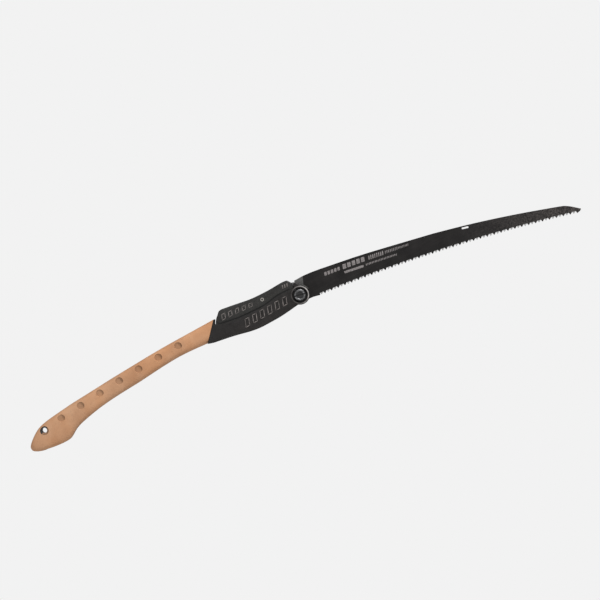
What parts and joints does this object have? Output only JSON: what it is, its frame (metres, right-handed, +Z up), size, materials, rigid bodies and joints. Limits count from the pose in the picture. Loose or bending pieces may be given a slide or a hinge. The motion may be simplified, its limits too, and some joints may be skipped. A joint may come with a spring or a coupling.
{
  "type": "folding hand saw",
  "caption": "Folding hand saw with a long curved two-handed grip, a rocker lock lever and a slim curved pull-stroke blade that turns on a bolted pivot.",
  "frame": {"origin": "centre of the hang hole, on the blade's middle plane", "axes": "+X runs along the handle to the pivot and on along the open blade, +Y is the thickness, +Z is up with the teeth facing -Z"},
  "size_m": [0.7652, 0.022, 0.1044],
  "materials": {
    "grip_elastomer": "matte, finely textured",
    "cover_plastic": "satin, moulded relief",
    "lever_plastic": "satin, moulded relief",
    "frame_steel": "ground",
    "spacer_aluminium": "milled",
    "pin_steel": "bright",
    "bolt_steel": "black oxide",
    "bushing_brass": "turned",
    "rest_rubber": "matte",
    "blade_steel": "dark low-glare coating, bare tang and ground tooth bevels"
  },
  "bodies": {
    "handle": {"grip": "grip_elastomer", "cover_left": "cover_plastic", "cover_right": "cover_plastic", "frame_plate_left": "frame_steel", "frame_plate_right": "frame_steel", "spacer_rear": "spacer_aluminium", "spacer_front": "spacer_aluminium", "frame_rivets": "pin_steel", "pivot_bolt": "bolt_steel", "pivot_nut": "bolt_steel", "pivot_bushing": "bushing_brass", "washer_left": "bushing_brass", "washer_right": "bushing_brass", "lever_pin": "pin_steel", "lever_spring": "pin_steel", "stop_pin": "pin_steel", "rest_pin": "pin_steel", "rest_sleeve": "rest_rubber"},
    "saw_blade": {"blade": "blade_steel"},
    "lock_lever": {"lever_cap": "lever_plastic", "lock_latch": "frame_steel", "latch_pin": "pin_steel"}
  },
  "joints": [
    {"name": "blade_pivot", "type": "hinge", "parent": "handle", "child": "saw_blade", "pos_m": [0.369, 0, 0], "axis": [0, 1, 0], "range_deg": [-18, 167.7]},
    {"name": "lever_pivot", "type": "hinge", "parent": "handle", "child": "lock_lever", "pos_m": [0.3236, 0, 0.0174], "axis": [0, 1, 0], "range_deg": [0, 3.2], "stiffness_Nm_per_rad": 1.5, "springref_deg": 11.46, "deforming": ["lever_spring"]}
  ]
}
